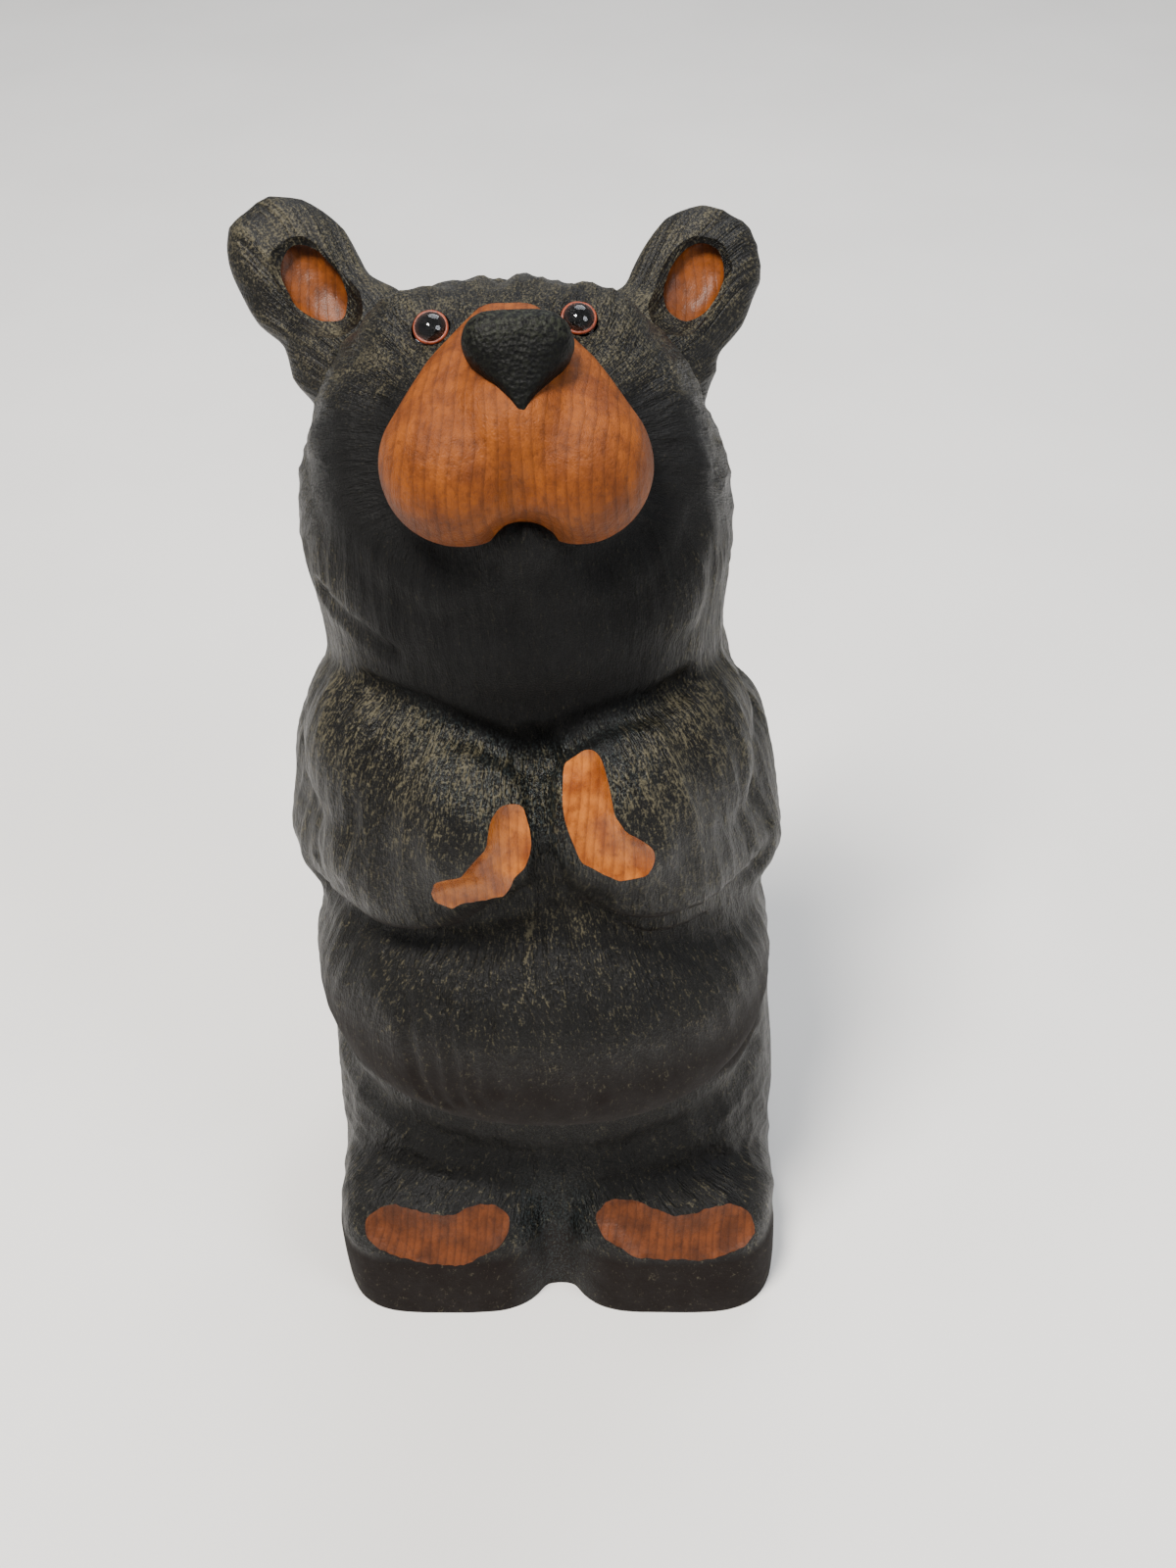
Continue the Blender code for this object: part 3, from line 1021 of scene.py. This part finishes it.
@dataclass
class CarvedBlock:
    """The bear itself: column, belly, feet, arms, head and ears cut from one block."""

    # Height, half width, front, back and squareness of the column
    column: tuple[tuple[float, ...], ...] = (
        (-8, 41.0, -33.0, 36.0, 3.6),
        (8, 42.3, -33.0, 37.5, 3.4),
        (28, 42.3, -30.0, 38.5, 3.2),
        (46, 41.4, -30.0, 38.5, 3.0),
        (64, 40.2, -32.0, 37.0, 2.8),
        (82, 38.6, -33.0, 35.0, 2.7),
        (100, 37.0, -31.0, 34.0, 2.6),
        (118, 34.0, -28.0, 33.0, 2.5),
        (133, 31.6, -27.0, 30.5, 2.4),
        (146, 31.6, -28.5, 28.5, 2.3),
        (157, 32.4, -30.0, 27.5, 2.3),
        (168, 30.5, -28.0, 25.5, 2.2),
        (176, 24.0, -20.0, 20.0, 2.2),
    )
    paws: dict[Side, tuple[Point, Point]] = field(
        default_factory=lambda: {
            Side.RIGHT: ((-8.8, -24.5, 118), (14, 15, 16)),
            Side.LEFT: ((14, -25, 120.5), (14, 15, 17)),
        }
    )
    ears: dict[Side, Point] = field(
        default_factory=lambda: {Side.RIGHT: (-30.0, 9, 30.2), Side.LEFT: (28.2, 9, 27.5)}
    )
    eyes: dict[Side, Point] = field(
        default_factory=lambda: {Side.RIGHT: (-9.4, -21.3, 16.6), Side.LEFT: (10.3, -21.1, 17.2)}
    )
    ear_lean: float = 32.0
    voxel: float = 0.7
    smoothing: int = 22
    triangles: int = 170000
    socket_radius: float = 2.8
    ear_scoops: dict[Side, tuple[Point, Point]] = field(
        default_factory=lambda: {
            Side.RIGHT: ((-27.6, 0.7, 28.1), (4.5, 1.9, 7.2)),
            Side.LEFT: ((28.0, 0.7, 27.1), (4.1, 1.9, 6.7)),
        }
    )
    strokes: tuple[Stroke, ...] = (
        # The crease where the arms leave the chest, and the one between the paws
        Stroke(
            ((-21.9, -21.5, 138.5), (-14.1, -25.9, 138.0), (-7.2, -27.1, 134.6), (1.2, -27.5, 129.0),
             (8.5, -27.5, 133.2), (17.0, -24.7, 137.0), (24.4, -20.1, 137.8)),
            4.6,
            1.9,
            1.3,
        ),
        Stroke(((1.5, -28, 134), (2.6, -31.5, 124), (3.0, -31.5, 112), (2.8, -31, 101)), 3.4, 1.2),
        # Under the forearms
        Stroke(
            ((-36.2, -14.9, 90.5), (-27, -26, 93), (-18.3, -30.1, 94.6), (-10.4, -32, 93.7),
             (-2.4, -31.6, 96.1), (7.1, -30.7, 99.5), (14.8, -31.5, 100), (24, -30, 100.5),
             (32, -23, 98), (37.7, -15.2, 96.5)),
            5.5,
            1.6,
            1.3,
        ),
        # Hollows beside the muzzle
        Stroke(
            ((-17.1, -16.5, 184.5), (-17.9, -20.9, 179.8), (-17.8, -24.5, 174.5), (-15.1, -27.8, 170.5),
             (-10.0, -30.4, 167.3)),
            7.5,
            1.7,
        ),
        Stroke(
            ((19.4, -15.8, 182.7), (20.6, -18.8, 178.5), (20.2, -22.8, 173.4), (18.1, -26.2, 168.6),
             (13.4, -29.1, 165.9)),
            7.5,
            1.7,
        ),
        # A soft ridge down the cheek, and a crease across the neck
        Stroke(
            ((26.7, -14.0, 172.6), (27.4, -16.0, 165.9), (26.2, -19.9, 158.7), (24.3, -21.3, 151.2)),
            5.0,
            -0.9,
        ),
        Stroke(
            ((-27.5, -16, 152.3), (-25.8, -19.7, 151.3), (-21.9, -23.0, 149.9), (-18.0, -25.1, 148.0)),
            3.2,
            1.1,
        ),
        # Under the belly
        Stroke(
            ((-37, -14, 50), (-32.1, -23.4, 45), (-20.2, -28.4, 37.5), (-4.4, -29.7, 33.4),
             (13.7, -29.3, 35.5), (28.0, -26.0, 42.5), (37, -16, 50)),
            6.5,
            1.6,
        ),
        # A nick in the crown, and the lump beside it
        Stroke(((-1.2, 0, 196), (-0.6, 9, 192)), 2.6, 0.9),
        Stroke(((3.2, 0, 196), (3.4, 9, 192)), 2.6, -0.5),
        # Long cuts down the belly
        Stroke(((-22.5, -36, 86), (-22.0, -40, 76), (-20.5, -41, 63)), 2.0, 0.7),
        Stroke(((-18.6, -37, 88), (-18.2, -41, 76), (-17.2, -42, 62)), 2.0, 0.6),
        Stroke(((-15.2, -38, 87), (-14.6, -42, 76), (-14.0, -42, 65)), 1.9, 0.7),
        Stroke(((-11.4, -39, 86), (-11.4, -42, 76), (-10.8, -42, 67)), 1.9, 0.5),
        Stroke(((-7.6, -39, 84), (-7.6, -42, 76), (-7.2, -42, 70)), 1.8, 0.5),
        Stroke(((9.0, -39, 84), (9.6, -42, 75), (10.0, -42, 68)), 1.8, 0.4),
        # Long cuts fanning down the arms
        Stroke(((-24, -19, 133), (-29, -20, 124), (-32, -19, 112), (-33, -17, 101)), 2.2, 0.7),
        Stroke(((-20, -22, 134), (-24, -25, 124), (-27, -27, 113), (-28, -26, 103)), 2.2, 0.6),
        Stroke(((-28, -14, 132), (-34, -14, 122), (-37, -13, 110), (-38, -10, 99)), 2.2, 0.4),
        Stroke(((27, -18, 132), (31, -20, 123), (33, -21, 113), (34, -20, 105)), 2.2, 0.5),
        Stroke(((30, -14, 132), (35, -15, 122), (38, -15, 112), (39, -12, 103)), 2.2, 0.3),
    )
    pads: tuple[Pad, ...] = (
        Pad(
            "pad_paw_right",
            Grain.PAW,
            ((-2.2, -35, 123.0), (-2.8, -36.7, 119.6), (-4.6, -37.8, 115.6), (-7.2, -37.6, 112.5),
             (-9.6, -37.4, 111.3)),
            (4.2, 4.5, 4.9, 5.8, 6.2),
            1.8,
        ),
        Pad(
            "pad_paw_left",
            Grain.PAW,
            ((9.4, -32.5, 132.2), (8.5, -34.5, 129.8), (9.2, -37, 126), (11.8, -38.7, 122),
             (14.8, -39.2, 120.0)),
            (3.7, 4.4, 4.5, 5.0, 4.7),
            1.8,
        ),
        Pad(
            "pad_foot_right",
            Grain.FOOT,
            ((-31.0, -36, 23.0), (-26.5, -38, 22.2), (-21, -38.5, 21.8), (-15.5, -38, 22.2),
             (-11.9, -36, 23.2)),
            (6.6, 7.6, 7.8, 7.6, 6.6),
            1.9,
            flutes=0.12,
        ),
        Pad(
            "pad_foot_left",
            Grain.FOOT,
            ((13.0, -36, 23.2), (18, -38, 22.2), (23.2, -38.5, 21.8), (28.5, -38, 22.2),
             (33.0, -36, 22.8)),
            (6.6, 7.6, 7.8, 7.6, 6.6),
            1.9,
            flutes=0.12,
        ),
    )
    body: Optional[bpy.types.Object] = None
    eye_seats: dict[Side, tuple[Vector, Vector]] = field(default_factory=dict)

    def profile(self, height: float) -> list[float]:
        """Half width, front, back and squareness of the column at a height."""
        rows = np.array(self.column)
        last = len(rows) - 1
        index = int(np.clip(np.searchsorted(rows[:, 0], height) - 1, 0, last - 1))
        t = (height - rows[index, 0]) / (rows[index + 1, 0] - rows[index, 0])
        before, here, after, beyond = (rows[min(max(index + k, 0), last)] for k in (-1, 0, 1, 2))
        curve = 2 * here + (after - before) * t
        curve = curve + (2 * before - 5 * here + 4 * after - beyond) * t * t
        curve = curve + (3 * here - before - 3 * after + beyond) * t**3
        return list(0.5 * curve[1:])

    def trunk(self) -> bpy.types.Object:
        """The column that everything is cut from: a drum drawn out to the block's profile.

        Returns:
            The column.
        """
        deselect()
        rings = 70
        bpy.ops.mesh.primitive_cylinder_add(
            vertices=80, radius=0.03, depth=0.184, location=(0, 0, 0.084)
        )
        drum = bpy.context.object
        low, high = self.column[0][0], self.column[-1][0]
        bpy.ops.object.transform_apply(location=True, rotation=True, scale=True)
        bpy.ops.object.mode_set(mode="EDIT")
        for ring in range(1, rings):
            bpy.ops.mesh.select_all(action="SELECT")
            height = (low + (high - low) * ring / rings) * UNIT
            bpy.ops.mesh.bisect(plane_co=(0, 0, height), plane_no=(0, 0, 1))
        bpy.ops.object.mode_set(mode="OBJECT")
        points = points_of(drum) / UNIT
        for index, (x, y, z) in enumerate(points):
            half, front, back, square = self.profile(z)
            angle = math.atan2(y, x)
            across, along = math.cos(angle), math.sin(angle)
            reach = (abs(across) ** square + abs(along) ** square) ** (-1.0 / square)
            points[index, 0] = half * across * reach
            points[index, 1] = (front + back) / 2 + (back - front) / 2 * along * reach
        place_points(drum, points * UNIT)
        return drum

    def masses(self) -> list[bpy.types.Object]:
        """Belly, feet, arms, skull, throat, chin, brows and ears.

        Returns:
            The masses, each still on its own.
        """
        head = head_frame()
        made = [
            ball((0, -8, 72), (40, 35, 28), squareness=2.3),
            ball((0, 0, 0), (29.5, 27, 27), squareness=2.2, within=head),
            ball((1, -12, 153), (25, 19, 21)),
            ball((MUZZLE_MIDDLE, -20.5, -11), (7, 7.5, 6), within=head),
            ball((2.6, -21, 112), (9, 11.5, 12)),
        ]
        for side in Side:
            way = side.value
            made.append(ball((way * 21.3, -15, 8), (20.8, 25, 21), squareness=3.8))
            middle, radii = self.paws[side]
            shoulder = ((way * 22.3, -2, 112), 17.2)
            elbow = ((way * 25.3, -4, 96.5), 16.5)
            forearm = ((way * 18, -19, 107), 16.0)
            made += limb([shoulder, elbow, forearm, (middle, 14.0), shoulder])
            made.append(ball((way * 18.5, -11, 119.5), (17.3, 19.5, 20.5), squareness=2.2))
            made.append(ball(middle, radii))
            made.append(ball((way * 10, -12, 15), (11, 9.5, 9), within=head))
            x, y, z = self.ears[side]
            root, splay = (x - way * 8, y - 1, z - 11), (0, way * 35, 0)
            made.append(ball(root, (11, 7.5, 12), turn=splay, within=head))
            tilt = (0, way * self.ear_lean, 0)
            made.append(ball((x, y, z), (9.6, 5.5, 12.5), turn=tilt, squareness=2.3, within=head))
        return made

    def carve(self, obj: bpy.types.Object) -> None:
        """Cuts the larger tool passes and then the strokes of the fur into the skin."""
        points = carver_points(points_of(obj))
        normals = normals_of(obj)
        cut = sum(stroke.settled(obj).cut(points) for stroke in self.strokes)
        points = points - normals * cut[:, None]
        points = points - normals * StrokeMap().depth(points, normals)[:, None]
        points[:, 0] += LEAN_SLOPE * points[:, 2]
        place_points(obj, points * UNIT)

    def saw_base(self, obj: bpy.types.Object) -> None:
        """Saws the underside flat and closes it."""
        pick(obj)
        bpy.ops.object.mode_set(mode="EDIT")
        bpy.ops.mesh.select_all(action="SELECT")
        bpy.ops.mesh.bisect(plane_co=(0, 0, 0), plane_no=(0, 0, 1), use_fill=True, clear_inner=True)
        bpy.ops.object.mode_set(mode="OBJECT")

    def ear_hollow(self, side: Side, material: bpy.types.Material) -> list[bpy.types.Object]:
        """The scoop in the front of an ear, and the oval of bare wood cut in its bed.

        Args:
            side: Which ear.
            material: The finish of the scoop's walls.

        Returns:
            The two cutters.
        """
        (x, y, z), radii = self.ear_scoops[side]
        turn = (0, side.value * self.ear_lean, 0)
        made = []
        scoop = ball((x, y, z), (6.4, 5.8, 9.4), turn=turn, within=head_frame(), fineness=5)
        oval = ball((x, y + 5.3, z), radii, turn=turn, within=head_frame(), fineness=5)
        bare = BARE_WOODS[Grain.EAR].make()
        for name, shape, finish in (("scoop", scoop, material), ("oval", oval, bare)):
            tool = join(f"{name}_{side.name.lower()}", [shape])
            lean(tool)
            spots = carver_points(points_of(tool))
            uneven = soft_noise(spots, 3.0, 81) * 0.22 + soft_noise(spots, 1.5, 82) * 0.06
            place_points(tool, points_of(tool) + normals_of(tool) * (uneven * UNIT)[:, None])
            dress(tool, finish)
            made.append(tool)
        return made

    def eye_socket(self, side: Side, material: bpy.types.Material) -> bpy.types.Object:
        """The drilled seat of an eye, round the middle of the eye's own node.

        Args:
            side: Which eye.
            material: The finish inside the seat.

        Returns:
            The cutter.
        """
        low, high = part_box("eye_" + side.name.lower())
        centre = (low + high) / 2
        skin_point = leaned(head_frame() @ Vector(self.eyes[side]))
        _, _, normal, _ = self.body.closest_point_on_mesh(skin_point)
        self.eye_seats[side] = (centre, normal)
        seat = ball(centre / UNIT, (self.socket_radius,) * 3, fineness=4)
        tool = join(f"socket_{side.name.lower()}", [seat])
        dress(tool, material)
        return tool

    def build(self) -> bpy.types.Object:
        """Models the block and all that is cut into it.

        Returns:
            The finished piece.
        """
        body = join("bear_block", [self.trunk(), *self.masses()])
        lean(body)
        fuse(body, self.voxel, self.smoothing)
        self.body = body
        self.carve(body)
        fur = StainedFur().make()
        dress(body, fur)
        pads = [pad.cutter(body) for pad in self.pads]
        scoops_cut, ovals_cut = zip(*(self.ear_hollow(side, fur) for side in Side))
        sockets = [self.eye_socket(side, fur) for side in Side]
        thin_out(body, self.triangles)
        self.saw_base(body)
        for tools in ([*pads, *scoops_cut, *sockets], list(ovals_cut)):
            tool = join("gouges", tools)
            modify(
                body,
                "BOOLEAN",
                operation="DIFFERENCE",
                solver="EXACT",
                object=tool,
                material_mode="TRANSFER",
            )
            bpy.data.objects.remove(tool, do_unlink=True)
        keep_in_box(body)
        self.tone(body)
        soften(body, 42)
        return body

    def tone(self, obj: bpy.types.Object) -> None:
        """Keeps the flow and the tones of the strokes on the finished mesh."""
        spots = carver_points(points_of(obj))
        normals = normals_of(obj)
        chart = StrokeMap()
        store(obj, "body_flow", chart.body_flow(spots))
        store(obj, "head_flow", chart.head_flow(spots))
        store(obj, "marks", chart.marks(spots, normals))
        store(obj, "tones", chart.tones(spots, normals))


# ---------------------------------------------------------------- muzzle, nose and eyes


@dataclass
class Muzzle:
    """The raised bare muzzle: a bridge that widens to two round lobes."""

    top: float = 5.5
    middle: float = 8.5
    lobe: float = 10.4
    lip_middle: Point = (1.4, -33, -17.5)
    lip_size: Point = (8.2, 14, 8.5)
    groove: float = 0.4
    voxel: float = 0.42
    smoothing: int = 22
    triangles: int = 70000

    def build(self) -> bpy.types.Object:
        """Models the muzzle.

        Returns:
            The finished piece.
        """
        head = head_frame()
        parts: list[bpy.types.Object] = []
        for side in Side:
            way = side.value
            top = ((MUZZLE_MIDDLE + way * 1.5, -18, 14.5), self.top)
            middle = ((MUZZLE_MIDDLE + way * 4.5, -24, 6), self.middle)
            lobe = ((MUZZLE_MIDDLE + way * 7.6, -26.5, -2.5), self.lobe)
            parts += limb([top, middle, lobe], within=head)
        upper = ((MUZZLE_MIDDLE, -25, 6), 9.6)
        lower = ((MUZZLE_MIDDLE, -27.8, 2.0), 10.0)
        parts += limb([upper, lower], within=head)
        piece = join("muzzle", parts)
        lean(piece)
        fuse(piece, self.voxel, self.smoothing)
        spots = carver_points(points_of(piece))
        hx, _, hz = StrokeMap().head_space(spots).T
        crease = ramp(np.abs(hx - 0.2), 2.0, 0.0) * ramp(hz, 4.0, 0.0)
        uneven = soft_noise(spots, 7.0, 51) * 0.14 + soft_noise(spots, 2.5, 52) * 0.05
        uneven = uneven - self.groove * crease
        place_points(piece, points_of(piece) + normals_of(piece) * (uneven * UNIT)[:, None])
        lip = join("lip_gap", [ball(self.lip_middle, self.lip_size, within=head, fineness=5)])
        lean(lip)
        modify(piece, "BOOLEAN", operation="DIFFERENCE", solver="EXACT", object=lip)
        bpy.data.objects.remove(lip, do_unlink=True)
        fuse(piece, self.voxel, 7)
        thin_out(piece, self.triangles)
        soften(piece, 60)
        dress(piece, BARE_WOODS[Grain.MUZZLE].make())
        return piece


@dataclass
class Nose:
    """The nose: a wedge with a broad top and a pointed foot."""

    size: Point = (7.3, 6.0, 8.3)
    middle: Point = (1.9, -34, 7.3)
    squareness: float = 3.8
    taper: float = 0.92
    slant: float = 0.5

    def build(self) -> bpy.types.Object:
        """Models the nose.

        Returns:
            The finished piece.
        """
        deselect()
        bpy.ops.mesh.primitive_ico_sphere_add(subdivisions=6, radius=1.0)
        piece = join("nose", [bpy.context.object])
        points = points_of(piece)
        reach = (np.abs(points) ** self.squareness).sum(axis=1) ** (-1.0 / self.squareness)
        points = points * reach[:, None]
        drop = np.maximum((1.0 - points[:, 2]) / 2, 0.0)
        points[:, 0] *= 1.0 - self.taper * ramp(drop, 0.2, 0.85)
        points[:, 1] += self.slant * drop
        upper = points[:, 2].copy()
        place = head_frame() @ Matrix.Translation(self.middle) @ Matrix.Diagonal((*self.size, 1.0))
        turn = np.array(place)
        points = points @ turn[:3, :3].T + turn[:3, 3]
        rough = soft_noise(points, 1.1, 61) * 0.06 + soft_noise(points, 2.8, 62) * 0.1
        points[:, 0] += LEAN_SLOPE * points[:, 2]
        place_points(piece, points * UNIT)
        place_points(piece, points_of(piece) + normals_of(piece) * (rough * UNIT)[:, None])
        store(piece, "rub", np.stack([ramp(upper, 0.3, 0.8)] * 3, axis=1))
        keep_in_box(piece)
        soften(piece, 60)
        dress(piece, NoseStain().make())
        return piece


@dataclass
class Eye:
    """One glass eye in its rim of bare wood."""

    side: Side
    centre: Vector
    axis: Vector
    glass_radius: float = 2.55
    rim_radius: float = 2.15
    rim_thickness: float = 0.27
    rim_height: float = 1.2
    paint_radius: float = 2.15
    paint_height: float = 1.2
    forward: float = 0.35

    def turned(self) -> Matrix:
        """The eye's frame, +Z along its gaze."""
        seat = self.centre + self.axis * (self.forward * UNIT)
        return Matrix.Translation(seat) @ self.axis.to_track_quat("Z", "Y").to_matrix().to_4x4()

    def settle(self, name: str, material: bpy.types.Material) -> bpy.types.Object:
        """Names, places and dresses the piece that was just modelled."""
        piece = bpy.context.object
        piece.name = name
        piece.data.name = name
        piece.data.transform(self.turned() @ piece.matrix_world)
        piece.matrix_world = Matrix.Identity(4)
        soften(piece, 50)
        dress(piece, material)
        return piece

    def glass(self) -> bpy.types.Object:
        """The clear ball."""
        deselect()
        bpy.ops.mesh.primitive_uv_sphere_add(
            segments=96, ring_count=48, radius=self.glass_radius * UNIT
        )
        return self.settle(f"eye_{self.side.name.lower()}_glass", EyeGlass().make())

    def paint(self) -> bpy.types.Object:
        """The painted disc behind the glass, slightly domed."""
        deselect()
        bpy.ops.mesh.primitive_circle_add(
            vertices=64,
            radius=self.paint_radius * UNIT,
            fill_type="NGON",
            location=(0, 0, self.paint_height * UNIT),
        )
        bpy.ops.object.transform_apply(location=True)
        bpy.ops.object.mode_set(mode="EDIT")
        bpy.ops.mesh.select_all(action="SELECT")
        for _ in range(5):
            bpy.ops.mesh.inset(thickness=0.32 * UNIT)
        bpy.ops.object.mode_set(mode="OBJECT")
        piece = bpy.context.object
        points = points_of(piece)
        away = np.hypot(points[:, 0], points[:, 1]) / (self.paint_radius * UNIT)
        points[:, 2] += 0.35 * UNIT * (1 - away**2)
        place_points(piece, points)
        store(piece, "from_pupil", np.stack([away] * 3, axis=1))
        modify(piece, "SOLIDIFY", thickness=0.2 * UNIT, offset=-1.0)
        return self.settle(f"eye_{self.side.name.lower()}_paint", EyePaint().make())

    def rim(self) -> bpy.types.Object:
        """The ring of bare wood round the glass."""
        deselect()
        bpy.ops.mesh.primitive_torus_add(
            major_segments=96,
            minor_segments=16,
            major_radius=self.rim_radius * UNIT,
            minor_radius=self.rim_thickness * UNIT,
            location=(0, 0, self.rim_height * UNIT),
        )
        piece = bpy.context.object
        bpy.ops.object.transform_apply(location=True)
        points = points_of(piece)
        uneven = soft_noise(points / UNIT + 9.0, 1.6, 71 + self.side.value) * 0.08 * UNIT
        place_points(piece, points + normals_of(piece) * uneven[:, None])
        return self.settle(f"eye_{self.side.name.lower()}_rim", BARE_WOODS[Grain.EYE_RIM].make())

    def build(self) -> list[bpy.types.Object]:
        """Models the glass, its paint and its rim."""
        return [self.glass(), self.paint(), self.rim()]


# ---------------------------------------------------------------- studio


@dataclass
class Studio:
    """A pale floor, soft lights and the camera."""

    floor_size: float = 6.0
    focal: float = 40.725
    camera_place: Point = (0.0053, -0.226, 0.302)
    pitch: float = 48.26

    def floor(self) -> None:
        """Lays the floor."""
        deselect()
        bpy.ops.mesh.primitive_plane_add(size=self.floor_size, location=(0, 0, 0))
        ground = bpy.context.object
        ground.name = "floor"
        bpy.ops.object.mode_set(mode="EDIT")
        bpy.ops.mesh.subdivide(number_cuts=4)
        bpy.ops.object.mode_set(mode="OBJECT")
        dress(ground, FloorPaint().make())

    def lamp(self, name: str, place: Point, size: float, power: float, tint: str) -> None:
        """Hangs one soft light that faces the bear.

        Args:
            name: Its name.
            place: Where it hangs, in metres.
            size: How wide it is, in metres.
            power: Its power in watts.
            tint: Its colour.
        """
        deselect()
        bpy.ops.object.light_add(type="AREA", location=place)
        made = bpy.context.object
        made.name = name
        made.data.shape = "DISK"
        made.data.size = size
        made.data.energy = power
        made.data.color = linear(tint)[:3]
        aim = Vector((0, 0, 0.1)) - Vector(place)
        made.rotation_euler = aim.to_track_quat("-Z", "Y").to_euler()

    def build(self) -> None:
        """Sets the floor, lights, sky and camera."""
        self.floor()
        self.lamp("key", (-0.20, -0.26, 0.85), 0.22, 16.0, "fffaf4")
        self.lamp("fill", (0.55, -0.40, 0.7), 0.4, 4.5, "f4f8ff")
        self.lamp("back", (0.1, 0.5, 0.8), 0.6, 5.0, "f4f8ff")
        sky = bpy.data.worlds.new("sky")
        bpy.context.scene.world = sky
        sky.use_nodes = True
        sky.node_tree.nodes["Background"].inputs[0].default_value = (0.85, 0.87, 0.9, 1.0)
        sky.node_tree.nodes["Background"].inputs[1].default_value = 0.48
        lens = bpy.data.cameras.new("camera")
        lens.lens = self.focal
        lens.sensor_width = 36.0
        eye = bpy.data.objects.new("camera", lens)
        bpy.context.scene.collection.objects.link(eye)
        eye.location = self.camera_place
        eye.rotation_euler = (math.radians(self.pitch), 0.0, 0.0)
        bpy.context.scene.camera = eye


def report(pieces: Iterable[bpy.types.Object]) -> None:
    """Says how fine each piece is."""
    for piece in pieces:
        triangles = sum(len(face.vertices) - 2 for face in piece.data.polygons)
        LOG.info("%s: %d triangles", piece.name, triangles)


def main() -> None:
    """Builds the studio, and then the bear, its muzzle, nose and eyes, in that order."""
    logging.basicConfig(level=logging.INFO)
    Studio().build()

    block = CarvedBlock()
    body = block.build()
    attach(body, "root")
    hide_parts("bear_body")
    report([body])

    for piece in (Muzzle().build(), Nose().build()):
        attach(piece, "root")
        report([piece])

    for side in Side:
        centre, axis = block.eye_seats[side]
        glass, paint, rim = Eye(side, centre, axis).build()
        for piece in (glass, paint, rim):
            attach(piece, "root")
        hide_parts("eye_" + side.name.lower())
        report([glass, paint, rim])


if __name__ == "__main__":
    main()
